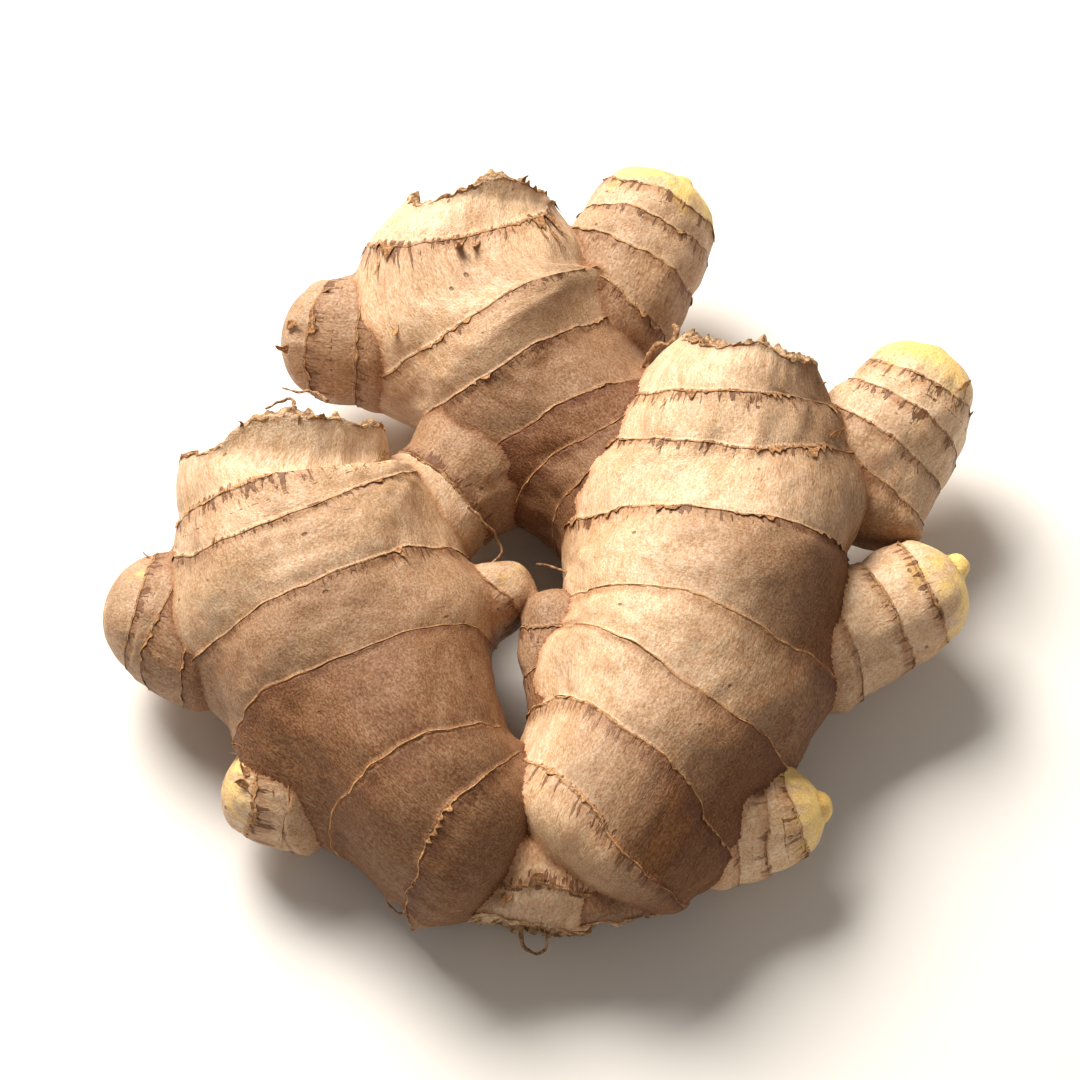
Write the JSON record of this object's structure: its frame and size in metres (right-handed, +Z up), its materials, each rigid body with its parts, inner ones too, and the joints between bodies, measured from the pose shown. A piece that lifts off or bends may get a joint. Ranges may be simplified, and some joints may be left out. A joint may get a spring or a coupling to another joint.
{
  "type": "fresh ginger root",
  "caption": "Branched fresh ginger rhizome with thick ringed lobes, short blunt fingers and broken scar ends, lying on its underside.",
  "frame": {"origin": "middle of the rhizome's box in plan, on the surface that it lies on", "axes": "+Z up from the surface, +Y away from the viewer towards the two far scar ends, +X to the viewer's right"},
  "size_m": [0.1492, 0.144, 0.0452],
  "materials": {
    "ginger_skin": "dry papery tan skin with raised rings"
  },
  "bodies": {
    "root": {"rhizome": "ginger_skin"}
  },
  "joints": []
}
